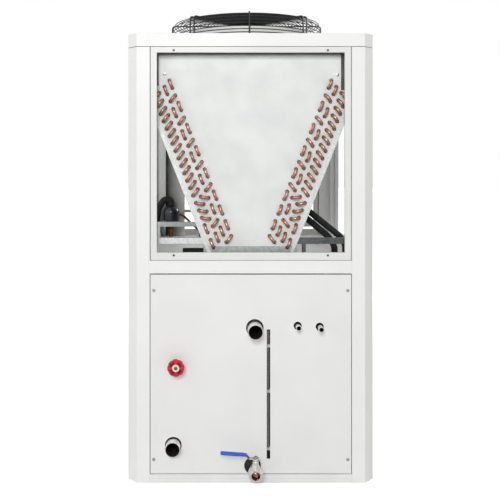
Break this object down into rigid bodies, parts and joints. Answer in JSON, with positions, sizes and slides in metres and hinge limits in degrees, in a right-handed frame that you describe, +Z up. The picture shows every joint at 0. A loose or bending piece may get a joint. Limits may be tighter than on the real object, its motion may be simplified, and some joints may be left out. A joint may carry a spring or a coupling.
{
  "type": "air-cooled inverter chiller",
  "caption": "Upright square chiller cabinet: closed tank bay with pipe stubs and valves, open bay with two coils in a V, roof fan under a wire guard.",
  "frame": {"origin": "middle of the cabinet's footprint, on the ground, at the underside of the middle tank bearer", "axes": "+Z up; the front with the water connections faces -Y; +X is to the right seen from the front"},
  "size_m": [1, 1.1, 1.9385],
  "materials": {
    "white_paint": "powder coated, fine satin",
    "frame_paint": "powder coated, fine satin",
    "galvanised": "galvanised, matt",
    "coil_fins": "close-set bare fins",
    "copper": "bare copper, brazed ends",
    "black_wire": "black coating",
    "fan_black": "moulded, matt",
    "motor_grey": "painted casting",
    "black_foam": "closed-cell foam, matt",
    "stainless": "satin stainless steel",
    "steel_valve": "cast stainless steel",
    "red_wheel": "red enamel",
    "blue_lever": "dipped vinyl sleeve",
    "gauge_glass": "clear tube",
    "clip_plastic": "moulded",
    "duct_grey": "galvanised duct",
    "dark_blue": "black-blue enamel"
  },
  "bodies": {
    "cabinet": {"base_rails": "frame_paint", "tank_bearers": "galvanised", "post_front_left": "frame_paint", "post_front_right": "frame_paint", "post_rear_left": "frame_paint", "post_rear_right": "frame_paint", "cross_rail_front": "frame_paint", "cross_rail_rear": "frame_paint", "cross_rail_left": "frame_paint", "cross_rail_right": "frame_paint", "deck": "white_paint", "roof_cap": "white_paint", "window_frame_front": "white_paint", "window_frame_rear": "white_paint", "window_frame_left": "white_paint", "window_frame_right": "white_paint", "panel_front": "white_paint", "panel_rear": "white_paint", "panel_left": "white_paint", "panel_right": "white_paint", "water_tank": "black_foam", "coil_left": "coil_fins", "coil_right": "coil_fins", "end_plate_front": "white_paint", "end_plate_rear": "white_paint", "return_bends_left": "copper", "return_bends_right": "copper", "coil_headers_left": "copper", "coil_headers_right": "copper", "drain_pan": "galvanised", "coil_rails": "galvanised", "fan_bellmouth": "white_paint", "fan_guard": "black_wire", "fan_guard_bands": "black_wire", "fan_guard_rings": "black_wire", "fan_motor": "motor_grey", "outlet_pipe": "stainless", "inlet_pipe": "stainless", "fill_pipe": "stainless", "overflow_pipe": "stainless", "level_gauge": "gauge_glass", "gauge_clips": "clip_plastic", "bypass_valve": "steel_valve", "drain_valve": "steel_valve", "suction_line": "black_foam", "liquid_line": "copper", "cable_duct": "duct_grey", "refrigerant_receiver": "dark_blue", "duct_brackets": "galvanised"},
    "fan_rotor": {"fan_impeller": "fan_black"},
    "drain_handle": {"drain_lever": "blue_lever", "drain_stem": "stainless"},
    "bypass_wheel": {"bypass_handwheel": "red_wheel"}
  },
  "joints": [
    {"name": "fan_spin", "type": "hinge", "parent": "cabinet", "child": "fan_rotor", "pos_m": [0, 0, 1.745], "axis": [0, 0, 1], "continuous": true},
    {"name": "drain_lever_turn", "type": "hinge", "parent": "cabinet", "child": "drain_handle", "pos_m": [0.016, -0.569, 0.128], "axis": [0, 0, 1], "range_deg": [0, 90]},
    {"name": "bypass_wheel_turn", "type": "hinge", "parent": "cabinet", "child": "bypass_wheel", "pos_m": [-0.3, -0.54, 0.476], "axis": [0, -1, 0], "range_deg": [0, 1170]}
  ]
}
